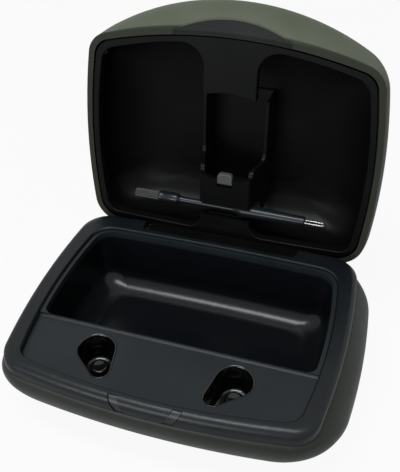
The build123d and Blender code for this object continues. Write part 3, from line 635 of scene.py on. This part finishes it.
@dataclass
class Skin:
    """Collects grids of points and turns them into one mesh piece.

    Points nearer than the merging distance, in metres, are one, and edges shorter than
    the sliver's length are dropped.
    """

    name: str
    points: list[np.ndarray] = field(default_factory=list)
    faces: list[np.ndarray] = field(default_factory=list)
    count: int = 0
    merging: float = 2e-6
    sliver: float = 1e-7

    def grid(self, points: np.ndarray, flip: bool = False) -> None:
        """Add a grid of points whose rows close on themselves.

        Face (i, j) joins points (i, j), (i, j+1), (i+1, j+1), (i+1, j), and the last
        column joins the first again.

        Args:
            points: Array of rows x columns x 3, in millimetres.
            flip: Whether the faces turn the other way.
        """
        rows, columns = points.shape[:2]
        here = np.arange(rows * columns).reshape(rows, columns) + self.count
        after = np.roll(here, -1, axis=1)
        quads = np.stack([here[:-1], after[:-1], after[1:], here[1:]], axis=-1).reshape(-1, 4)
        self.points.append(points.reshape(-1, 3))
        self.faces.append(quads[:, ::-1] if flip else quads)
        self.count += rows * columns

    def piece(self, finish: Material, body: str, slot: str) -> Object:
        """Make the mesh object and let it ride on a body.

        Points that fall together are merged, which closes seams and poles, and the
        normals are then made to face outwards.

        Args:
            finish: Material of the piece.
            body: Body that the piece moves with.
            slot: Name of a material slot; not used.

        Returns:
            The new object, at the origin.
        """
        points = np.concatenate(self.points)
        mesh = bpy.data.meshes.new(self.name)
        quads = np.concatenate(self.faces)
        mesh.from_pydata((points * MM).tolist(), [], quads.tolist())
        work = bmesh.new()
        work.from_mesh(mesh)
        bmesh.ops.remove_doubles(work, verts=work.verts, dist=self.merging)
        bmesh.ops.dissolve_degenerate(work, edges=work.edges, dist=self.sliver)
        bmesh.ops.recalc_face_normals(work, faces=work.faces)
        work.to_mesh(mesh)
        work.free()
        mesh.shade_smooth()
        mesh.materials.append(finish)
        piece = bpy.data.objects.new(self.name, mesh)
        bpy.context.scene.collection.objects.link(piece)
        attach(piece, body)
        log.info("%s: %d faces on %s", self.name, len(mesh.polygons), body)
        return piece


def arc(centre: Pair, radius: float, first: float, last: float, count: int) -> np.ndarray:
    """Points on a circle arc: centre plus radius times cosine and sine of evenly spaced angles.

    Args:
        centre: The circle's centre in the profile's plane.
        radius: Radius in millimetres.
        first: First angle in degrees.
        last: Last angle in degrees.
        count: Number of points.

    Returns:
        Array of count x 2.
    """
    turn = np.radians(np.linspace(first, last, count))
    return np.column_stack([centre[0] + radius * np.cos(turn), centre[1] + radius * np.sin(turn)])


def turned(profile: np.ndarray, around: int = 48) -> np.ndarray:
    """Surface of revolution about X.

    Row i holds the circle of radius profile[i, 1] at x = profile[i, 0]: y is the radius
    times the cosine of the angle and z the radius times its sine.

    Args:
        profile: Array of rows x 2 with place along the axis and radius.
        around: Points on each circle.

    Returns:
        Array of rows x around x 3.
    """
    angle = np.linspace(0, 2 * np.pi, around, endpoint=False)
    along = np.repeat(profile[:, :1], around, axis=1)
    return np.stack([along, profile[:, 1:] * np.cos(angle), profile[:, 1:] * np.sin(angle)], axis=-1)


def upright(profile: np.ndarray, around: int = 48) -> np.ndarray:
    """Surface about Z from radius and height: the one about X, with each axis moved on by one."""
    return np.roll(turned(profile[:, ::-1], around), -1, axis=-1)


# Pieces

@dataclass
class PortCup:
    """Glossy egg-shaped cup of one charging port, with its rolled mouth and dished round post.

    Row places are heights or growths where a flat wall gets one more row of points, so
    that its shading stays even beside a round.
    """

    side: int
    heel: Pair = (20.8, -27.8)
    heel_radius: float = 5.2
    toe: Pair = (16.9, -34.55)
    toe_radius: float = 2.6
    wall: float = 0.7
    mouth_z: float = 29.25
    depth: float = 9.65
    floor: float = 1.3
    roll: float = 0.75
    edge_round: float = 0.15
    under_bevel: float = 0.1
    foot_radius: float = 1.3
    draft: float = 0.2
    under_row: float = 2.0
    outer_row: float = 3.0
    floor_rows: Pair = (3.0, 4.5)
    post_radius: float = 2.6
    post_height: float = 2.0
    post_foot: float = 0.35
    post_edge: float = 0.4
    post_root: float = 0.2
    dish: tuple[Pair, ...] = ((0.9, 0.02), (1.2, 0.12))
    dish_depth: float = 0.15
    toe_points: int = 36
    heel_points: int = 60
    side_points: int = 8

    @property
    def name(self) -> str:
        """Name of the side."""
        return "left" if self.side < 0 else "right"

    @property
    def floor_z(self) -> float:
        """Height of the cup's floor."""
        return self.mouth_z - self.depth

    def outline(self) -> tuple[np.ndarray, np.ndarray, np.ndarray]:
        """Egg outline as the hull of two circles.

        The tangent lines leave both circles at the same angle: the direction from heel to
        toe plus and minus the arc cosine of the radii's difference over their distance.

        Returns:
            Centres, radii and outward normals of the outline's points.
        """
        heel = np.array([self.side * self.heel[0], self.heel[1]])
        toe = np.array([self.side * self.toe[0], self.toe[1]])
        run = toe - heel
        lean = math.atan2(run[1], run[0])
        open_angle = math.acos((self.heel_radius - self.toe_radius) / np.linalg.norm(run))
        around_toe = np.linspace(lean - open_angle, lean + open_angle, self.toe_points)
        around_heel = np.linspace(lean + open_angle, lean - open_angle + 2 * np.pi, self.heel_points)
        share = np.linspace(0, 1, self.side_points + 2)[1:-1]
        angle = np.concatenate([around_toe, np.full(self.side_points, around_toe[-1]),
                                around_heel, np.full(self.side_points, around_heel[-1])])
        weight = np.concatenate([np.ones(self.toe_points), 1 - share, np.zeros(self.heel_points), share])
        centre = heel + weight[:, None] * run
        radius = self.heel_radius + weight * (self.toe_radius - self.heel_radius)
        return centre, radius, np.column_stack([np.cos(angle), np.sin(angle)])

    def rows(self, profile: np.ndarray) -> np.ndarray:
        """Carry a profile round the outline: centre plus radius and growth along the normal.

        A growth below minus the radius stops at the centre line, which closes the floor.

        Args:
            profile: Array of rows x 2 with growth and height.

        Returns:
            Array of rows x columns x 3.
        """
        centre, radius, normal = self.outline()
        reach = np.maximum(0.0, radius[None, :] + profile[:, :1])
        flat = centre[None] + reach[..., None] * normal[None]
        tall = np.broadcast_to(profile[:, 1:], flat.shape[:2])
        return np.concatenate([flat, tall[..., None]], axis=-1)

    def cup_profile(self) -> np.ndarray:
        """Profile of the cup: underside, outer wall, mouth, drafted wall, fillet and floor.

        The rolled mouth is a quarter ellipse: its growth falls with the sine of the angle
        and its height with one less the cosine.

        Returns:
            Array of rows x 2 with growth and height.
        """
        under = self.floor_z - self.floor
        full = self.heel_radius + self.wall
        lip_growth = self.wall - self.edge_round
        lip_z = self.mouth_z - self.edge_round
        outer = np.array([[-full, under], [-self.under_row, under], [self.wall - self.under_bevel, under],
                          [self.wall, under + self.under_bevel], [self.wall, self.mouth_z - self.outer_row],
                          [self.wall, lip_z]])
        lip = arc((lip_growth, lip_z), self.edge_round, 0, 90, 5)
        turn = np.linspace(0, np.pi / 2, 9)
        mouth = np.column_stack([lip_growth * (1 - np.sin(turn)),
                                 self.mouth_z - self.roll * (1 - np.cos(turn))])[1:]
        bend = self.floor_z + self.foot_radius
        inner = np.column_stack([np.linspace(0, -self.draft, 6),
                                 np.linspace(self.mouth_z - self.roll, bend, 6)])[1:]
        fillet = arc((-self.draft - self.foot_radius, bend), self.foot_radius, 0, -90, 9)[1:]
        base = np.array([[-growth, self.floor_z] for growth in (*self.floor_rows, full)])
        return np.concatenate([outer, lip, mouth, inner, fillet, base])

    def post_profile(self) -> np.ndarray:
        """Profile of the post: root under the floor, hollow round, side, edge and dished top.

        Returns:
            Array of rows x 2 with radius and height.
        """
        foot, edge = self.post_foot, self.post_edge
        top = self.floor_z + self.post_height
        root = self.floor_z - self.post_root
        foot_round = arc((self.post_radius + foot, self.floor_z + foot), foot, 270, 180, 5)
        edge_round = arc((self.post_radius - edge, top - edge), edge, 0, 90, 6)
        dish = np.array([[self.post_radius - inwards, top - down] for inwards, down in self.dish])
        return np.concatenate([[[0.0, root], [self.post_radius + foot, root]], foot_round, edge_round,
                               dish, [[0.0, top - self.dish_depth]]])

    def build(self, shelf: FinishShelf) -> None:
        """Build the cup and the post on its floor.

        Args:
            shelf: Source of the materials.
        """
        cup = Skin(f"dressed_port_cup_{self.name}")
        cup.grid(self.rows(self.cup_profile()), flip=True)
        post = upright(self.post_profile())
        cup.grid(post + np.array([self.side * self.heel[0], self.heel[1], 0.0]), flip=True)
        piece = cup.piece(shelf.get(CUP_GLOSS), "case", "cup")
        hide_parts(f"port_cup_{self.name}")


@dataclass
class CleaningTool:
    """Cleaning tool across the lid: handle, brush tip at the left and wire loop at the right.

    Places along the tool are measured from the lid's middle. The handle's axis is the
    middle of the solid handle's box. Roots are the lengths that reach into the handle.
    """

    left: float = -24.0
    right: float = 27.0
    end_radius: float = 2.0
    end_round: float = 0.45
    ring_place: float = 1.6
    ring_width: float = 0.6
    ring_slope: float = 0.15
    ring_depth: float = 0.12
    cone_start: float = -17.5
    cone_length: float = 1.5
    waist_radius: float = 1.2
    swell: float = 6.0
    swell_length: float = 4.0
    swell_radius: float = 2.2
    tail_radius: float = 1.7
    tail_round: float = 0.5
    handle_around: int = 64
    tip_length: float = 8.5
    tip_radius: float = 1.5
    tip_round: float = 0.3
    tip_core: float = 0.3
    tip_points: int = 40
    tip_around: int = 192
    tip_root: Pair = (0.05, 0.06)
    strands: int = 9
    strand_gap: float = 0.55
    strand_swing: float = 0.12
    swing_rate: float = 2.0
    wire_radius: float = 0.25
    wire_points: int = 14
    wire_root: float = 0.6
    loop_half: float = 0.65
    loop_length: float = 6.5
    loop_bow: float = 0.1
    prong_points: int = 24
    bend_points: int = 18

    def axis_place(self) -> np.ndarray:
        """Find the middle of the solid handle's box.

        Returns:
            The middle in millimetres, with X left at nought.
        """
        low, high = (np.array(corner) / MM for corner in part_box("tool_handle"))
        middle = (low + high) / 2
        middle[0] = 0.0
        return middle

    def handle_profile(self) -> np.ndarray:
        """Profile of the handle: round ends, a ring, a cone to the waist and a long taper.

        Cone and swell ease in and out: the share times itself times three less twice it.

        Returns:
            Array of rows x 2 with place and radius.
        """
        left_end = arc((self.left + self.end_round, self.end_radius - self.end_round),
                       self.end_round, 180, 90, 7)
        first = self.left + self.ring_place
        last = first + self.ring_width
        low = self.end_radius - self.ring_depth
        ring = np.array([[first, self.end_radius], [first + self.ring_slope, low],
                         [last - self.ring_slope, low], [last, self.end_radius]])
        share = np.linspace(0, 1, 9)
        ease = share * share * (3 - 2 * share)
        cone = np.column_stack([self.cone_start + self.cone_length * share,
                                self.end_radius + (self.waist_radius - self.end_radius) * ease])
        rise = np.column_stack([self.swell - self.swell_length * (1 - share),
                                self.waist_radius + (self.swell_radius - self.waist_radius) * ease])
        tail = self.right - self.tail_round
        taper = np.column_stack([self.swell + (tail - self.swell) * share,
                                 self.swell_radius + (self.tail_radius - self.swell_radius) * share])[1:]
        right_end = arc((tail, self.tail_radius - self.tail_round), self.tail_round, 90, 0, 7)[1:]
        return np.concatenate([[[self.left, 0.0]], left_end, ring, cone, rise, taper, right_end,
                               [[self.right, 0.0]]])

    def tip_rows(self) -> np.ndarray:
        """Brush tip: a bundle of strands that run along the tool, with a blunt end.

        The radius falls from the tip's own by the gap's depth times half of one less the
        cosine of the strands' number times the angle round the tip, so that each strand
        is a ridge. On their way the ridges swing a little: to that product is added the
        swing times the sine of its rate times the way along the tip. Points nearer to the
        axis than the core's share of the radius stay where they are.

        Returns:
            Array of rows x columns x 3.
        """
        start = self.left - self.tip_length
        end = arc((start + self.tip_round, self.tip_radius - self.tip_round), self.tip_round, 180, 90, 6)
        shaft_end, close = (self.left + root for root in self.tip_root)
        along = np.linspace(start + self.tip_round, shaft_end, self.tip_points)[1:]
        shaft = np.column_stack([along, np.full(len(along), self.tip_radius)])
        profile = np.concatenate([[[start, 0.0]], end, shaft, [[close, 0.0]]])
        rows = turned(profile, self.tip_around)
        angle = np.arctan2(rows[..., 2], rows[..., 1])
        reach = np.hypot(rows[..., 1], rows[..., 2])
        swing = self.strand_swing * np.sin(self.swing_rate * (rows[..., 0] - start))
        fall = self.strand_gap / self.tip_radius * 0.5 * (1 - np.cos(self.strands * angle + swing))
        rows[..., 1:] *= (1 - fall * (reach > self.tip_core * self.tip_radius))[..., None]
        return rows

    def loop_path(self) -> np.ndarray:
        """Path of the wire loop: two prongs that bow apart as a half sine, and a half circle.

        Returns:
            Array of points x 2 along X and across.
        """
        bend = self.right + self.loop_length - self.loop_half
        along = np.linspace(self.right - self.wire_root, bend, self.prong_points)
        bow = self.loop_bow * np.sin(np.pi * (along - along[0]) / (along[-1] - along[0]))
        out = np.column_stack([along, -self.loop_half - bow])
        back = np.column_stack([along[::-1], self.loop_half + bow[::-1]])
        round_end = arc((bend, 0.0), self.loop_half, -90, 90, self.bend_points)[1:-1]
        return np.concatenate([out, round_end, back])

    def loop_rows(self) -> np.ndarray:
        """Wire of the loop, with each end closed by a row that shrinks to its middle.

        At each point of the path a circle lies across it: its first axis is the path's
        direction turned by a right angle in the plane, its second is Z.

        Returns:
            Array of rows x columns x 3.
        """
        path = self.loop_path()
        ahead = np.gradient(path, axis=0)
        ahead /= np.linalg.norm(ahead, axis=1, keepdims=True)
        side = np.column_stack([-ahead[:, 1], ahead[:, 0]])
        angle = np.linspace(0, 2 * np.pi, self.wire_points, endpoint=False)
        across = self.wire_radius * np.cos(angle)[None, :, None] * side[:, None, :]
        flat = path[:, None, :] + across
        tall = np.broadcast_to(self.wire_radius * np.sin(angle), flat.shape[:2])
        rows = np.concatenate([flat, tall[..., None]], axis=-1)
        first, last = (np.broadcast_to(end.mean(axis=0), end.shape) for end in (rows[0], rows[-1]))
        return np.concatenate([first[None], rows, last[None]])

    def build(self, shelf: FinishShelf) -> None:
        """Build handle, tip and loop.

        Args:
            shelf: Source of the materials.
        """
        middle = self.axis_place()
        parts = (("tool_handle", turned(self.handle_profile(), self.handle_around),
                  TOOL_ACETAL, "tool_black"),
                 ("tool_tip", self.tip_rows(), TIP_NYLON, "tip_grey"),
                 ("tool_loop", self.loop_rows(), LOOP_WIRE, "wire"))
        for node, rows, finish, slot in parts:
            skin = Skin(f"dressed_{node}")
            skin.grid(rows + middle)
            piece = skin.piece(shelf.get(finish), "tool", slot)
            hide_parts(node)


@dataclass
class ContactTip:
    """Gold tip of one spring contact: a rounded nose over a thin groove."""

    name: str
    body: str
    radius: float = 0.5
    nose_round: float = 0.4
    groove: tuple[float, float, float, float] = (0.75, 0.70, 0.60, 0.55)
    groove_depth: float = 0.05
    around: int = 32

    def profile(self, foot: float, top: float) -> np.ndarray:
        """Profile of the tip: stem, groove and nose.

        Args:
            foot: Height of the stem's foot.
            top: Height of the nose.

        Returns:
            Array of rows x 2 with radius and height.
        """
        neck = self.radius - self.groove_depth
        reach = (self.radius, neck, neck, self.radius)
        groove = np.array([[radius, top - down] for radius, down in zip(reach, self.groove)])
        nose = arc((self.radius - self.nose_round, top - self.nose_round), self.nose_round, 0, 90, 8)
        return np.concatenate([[[0.0, foot], [self.radius, foot]], groove, nose, [[0.0, top]]])

    def build(self, shelf: FinishShelf) -> None:
        """Build the tip where the solid plunger is.

        Args:
            shelf: Source of the materials.
        """
        low, high = (np.array(corner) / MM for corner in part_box(self.name))
        middle = (low + high) / 2
        tip = Skin(f"dressed_{self.name}")
        rows = upright(self.profile(low[2], high[2]), self.around)
        tip.grid(rows + np.array([middle[0], middle[1], 0.0]), flip=True)
        piece = tip.piece(shelf.get(GOLD_PLATE), self.body, "contact_gold")
        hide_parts(self.name)


@dataclass
class FootPad:
    """Rubber foot: a rounded pad with a rolled lower edge and shallow ribs on its underside."""

    half_x: float = 31.0
    half_y: float = 17.0
    corner: float = 8.0
    height: float = 1.38
    edge: float = 0.35
    rib_pitch: float = 3.0
    rib_depth: float = 0.12
    corner_points: int = 12
    under_rows: int = 60

    def outline(self, inset: float) -> np.ndarray:
        """Rounded rectangle made smaller by an inset.

        Each corner is a quarter circle about its centre, and the straights follow from
        joining the quarters.

        Args:
            inset: Distance inwards in millimetres.

        Returns:
            Array of points x 2.
        """
        quarter = np.linspace(0, np.pi / 2, self.corner_points)
        radius = self.corner - inset
        centre_x = self.half_x - self.corner
        centre_y = self.half_y - self.corner
        corners = []
        for turn, (side_x, side_y) in enumerate(((1, 1), (-1, 1), (-1, -1), (1, -1))):
            angle = quarter + turn * np.pi / 2
            corners.append(np.column_stack([side_x * centre_x + radius * np.cos(angle),
                                            side_y * centre_y + radius * np.sin(angle)]))
        return np.concatenate(corners)

    def level(self, flat: np.ndarray, height: float) -> np.ndarray:
        """Lift a flat outline to a height."""
        return np.column_stack([flat, np.full(len(flat), height)])

    def build(self, shelf: FinishShelf) -> None:
        """Build the pad as rows from its top's middle, round its edge and over its underside.

        The underside's rows are scaled copies of the outline, and their height is the rib
        depth times half of one less the cosine of one turn a rib, so the ribs follow the
        outline.

        Args:
            shelf: Source of the materials.
        """
        whole = self.outline(0.0)
        rows = [self.level(whole * 0.0, self.height), self.level(whole, self.height)]
        rolled = arc((self.edge, self.edge), self.edge, 180, 270, 6)
        rows += [self.level(self.outline(inset), tall) for inset, tall in rolled]
        share = np.linspace(1.0, 0.0, self.under_rows)[1:]
        ribs = 0.5 * self.rib_depth * (1 - np.cos(2 * np.pi * (1 - share) * self.half_y / self.rib_pitch))
        inner = self.outline(self.edge)
        rows += [self.level(inner * part, tall) for part, tall in zip(share, ribs)]
        pad = Skin("dressed_foot_pad")
        pad.grid(np.array(rows))
        piece = pad.piece(shelf.get(FOOT_RUBBER), "case", "foot_rubber")
        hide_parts("foot_pad")


@dataclass
class SolidNodes:
    """The solid model's own nodes, which keep their shapes and get their finishes."""

    finished: dict[Finish, str]

    def dress(self, shelf: FinishShelf) -> None:
        """Give each node its finish through its material slots.

        Args:
            shelf: Source of the materials.
        """
        finishes = {node: finish for finish, nodes in self.finished.items() for node in nodes.split()}
        for name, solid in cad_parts.items():
            finish = finishes[name]
            solid.data.materials.clear()
            solid.data.materials.append(shelf.get(finish))
            log.info("%s: %s", name, finish.name)


# Studio

@dataclass(frozen=True)
class Lamp:
    """One soft area lamp, aimed at the middle of the case."""

    name: str
    place: Triple
    size: Pair
    watts: float
    shade: str
    aim: Triple = (0.0, 0.0, 0.04)

    def hang(self) -> None:
        """Hang the lamp and turn its face to its aim."""
        light = bpy.data.lights.new(self.name, "AREA")
        light.shape = "RECTANGLE"
        light.size, light.size_y = self.size
        light.energy = self.watts
        light.color = linear(self.shade)[:3]
        lamp = bpy.data.objects.new(self.name, light)
        lamp.location = self.place
        lamp.rotation_euler = (Vector(self.aim) - lamp.location).to_track_quat("-Z", "Y").to_euler()
        bpy.context.scene.collection.objects.link(lamp)


def seen_ray(tree: NodeTree, gloss_share: float) -> NodeSocket:
    """Tell a ray that shows the background from one that only lights.

    Args:
        tree: Node tree that gets the nodes.
        gloss_share: Value for a ray from gloss or through a clear piece.

    Returns:
        One for a ray from the camera, the share for gloss, and nought for a lighting ray.
    """
    path = add_node(tree, "ShaderNodeLightPath")
    gloss = add_node(tree, "ShaderNodeMath", {"operation": "MAXIMUM"},
                     {0: path.outputs["Is Glossy Ray"], 1: path.outputs["Is Transmission Ray"]})
    part = add_node(tree, "ShaderNodeMath", {"operation": "MULTIPLY", 1: gloss_share},
                    {0: gloss.outputs["Value"]})
    seen = add_node(tree, "ShaderNodeMath", {"operation": "MAXIMUM"},
                    {0: path.outputs["Is Camera Ray"], 1: part.outputs["Value"]})
    return seen.outputs["Value"]


@dataclass(frozen=True)
class StudioCard(Finish):
    """Pale matte card that is white to the camera, but for a share that keeps the shadow.

    Gloss and clear pieces see it too, with more of the shadow that the case throws on it.
    """

    shades: Shades = Shades("#C0C0BE", "#C4C4C2")
    grain_mm: float = 30.0
    white: float = 0.93
    gloss: float = 0.35

    def surface(self, tree: NodeTree) -> NodeSocket:
        """Build the shader: a matte card, with a white glow where a ray shows the background.

        Args:
            tree: Node tree of the card.

        Returns:
            The shader's socket.
        """
        colour = self.shades.blend(tree, Grain(self.grain_mm).height(tree))
        card = add_node(tree, "ShaderNodeBsdfPrincipled", {"Roughness": 0.9, "Specular IOR Level": 0.2},
                        {"Base Color": colour})
        glow = add_node(tree, "ShaderNodeEmission", {"Color": (1.0, 1.0, 1.0, 1.0), "Strength": 1.0})
        share = add_node(tree, "ShaderNodeMath",
                         {"operation": "MULTIPLY", "use_clamp": True, 1: self.white},
                         {0: seen_ray(tree, self.gloss)})
        mix = add_node(tree, "ShaderNodeMixShader",
                       links={0: share.outputs["Value"], 1: card.outputs[0], 2: glow.outputs[0]})
        return mix.outputs[0]


@dataclass
class Studio:
    """Pale floor, soft light and the camera at the photograph's angle."""

    camera_place: Triple = (0.05867, -0.16263, 0.20404)
    azimuth: float = 18.92
    elevation: float = 38.64
    roll: float = -1.82
    lens: float = 59.92
    sensor: float = 36.0
    shift_y: float = -0.0657
    lamps: tuple[Lamp, ...] = (
        Lamp("overhead_softbox", (-0.02, -0.22, 0.76), (0.50, 0.18), 4.8, "#F6FBFF"),
        Lamp("front_window", (-0.20, -0.70, 0.20), (0.45, 0.20), 2.4, "#F6FAFF"),
    )
    fill: float = 0.08
    card: StudioCard = StudioCard("pale_studio_card")
    floor_half: float = 1.2
    floor_drop: float = 0.0004

    def set_camera(self) -> None:
        """Stand the camera at its place, looking back along its own axis with a small roll."""
        turn, rise, lean = (math.radians(v) for v in (self.azimuth, self.elevation, self.roll))
        back = Vector((math.sin(turn) * math.cos(rise), -math.cos(turn) * math.cos(rise), math.sin(rise)))
        right = Vector((math.cos(turn), math.sin(turn), 0.0))
        above = back.cross(right)
        across = math.cos(lean) * right + math.sin(lean) * above
        upward = -math.sin(lean) * right + math.cos(lean) * above
        view = Matrix((across, upward, back)).transposed().to_4x4()
        view.translation = self.camera_place
        lens = bpy.data.cameras.new("photo_camera")
        lens.lens, lens.sensor_width, lens.shift_y = self.lens, self.sensor, self.shift_y
        camera = bpy.data.objects.new("photo_camera", lens)
        camera.matrix_world = view
        bpy.context.scene.collection.objects.link(camera)
        bpy.context.scene.camera = camera

    def set_world(self) -> None:
        """White background to the camera, to gloss and to clear pieces, and a plain fill elsewhere."""
        world = bpy.data.worlds.new("studio")
        world.use_nodes = True
        tree = world.node_tree
        tree.nodes.clear()
        level = add_node(tree, "ShaderNodeMapRange", {"To Min": self.fill},
                         {"Value": seen_ray(tree, 1.0)})
        sky = add_node(tree, "ShaderNodeBackground", {"Color": (1.0, 1.0, 1.0, 1.0)},
                       {"Strength": level.outputs["Result"]})
        add_node(tree, "ShaderNodeOutputWorld", links={"Surface": sky.outputs[0]})
        bpy.context.scene.world = world

    def lay_floor(self) -> None:
        """Lay the card a hair under the foot pad."""
        half, low = self.floor_half, -self.floor_drop
        mesh = bpy.data.meshes.new("studio_floor")
        mesh.from_pydata([(-half, -half, low), (half, -half, low), (half, half, low), (-half, half, low)],
                         [], [(0, 1, 2, 3)])
        mesh.materials.append(self.card.material())
        floor = bpy.data.objects.new("studio_floor", mesh)
        bpy.context.scene.collection.objects.link(floor)

    def build(self) -> None:
        """Set camera, world, floor and lamps."""
        self.set_camera()
        self.set_world()
        self.lay_floor()
        for lamp in self.lamps:
            lamp.hang()
        bpy.context.scene.view_settings.view_transform = "Standard"


def main() -> None:
    """Build the dressed charger and its studio, piece by piece."""
    logging.basicConfig(level=logging.INFO, format="%(name)s: %(message)s")
    shelf = FinishShelf()
    SolidNodes(FINISHED_NODES).dress(shelf)
    for side in (-1, 1):
        PortCup(side).build(shelf)
    for node in ("left_inner", "left_toe", "right_inner", "right_toe"):
        ContactTip(f"plunger_{node}", f"pin_{node}").build(shelf)
    CleaningTool().build(shelf)
    FootPad().build(shelf)
    Studio().build()


if __name__ == "__main__":
    main()
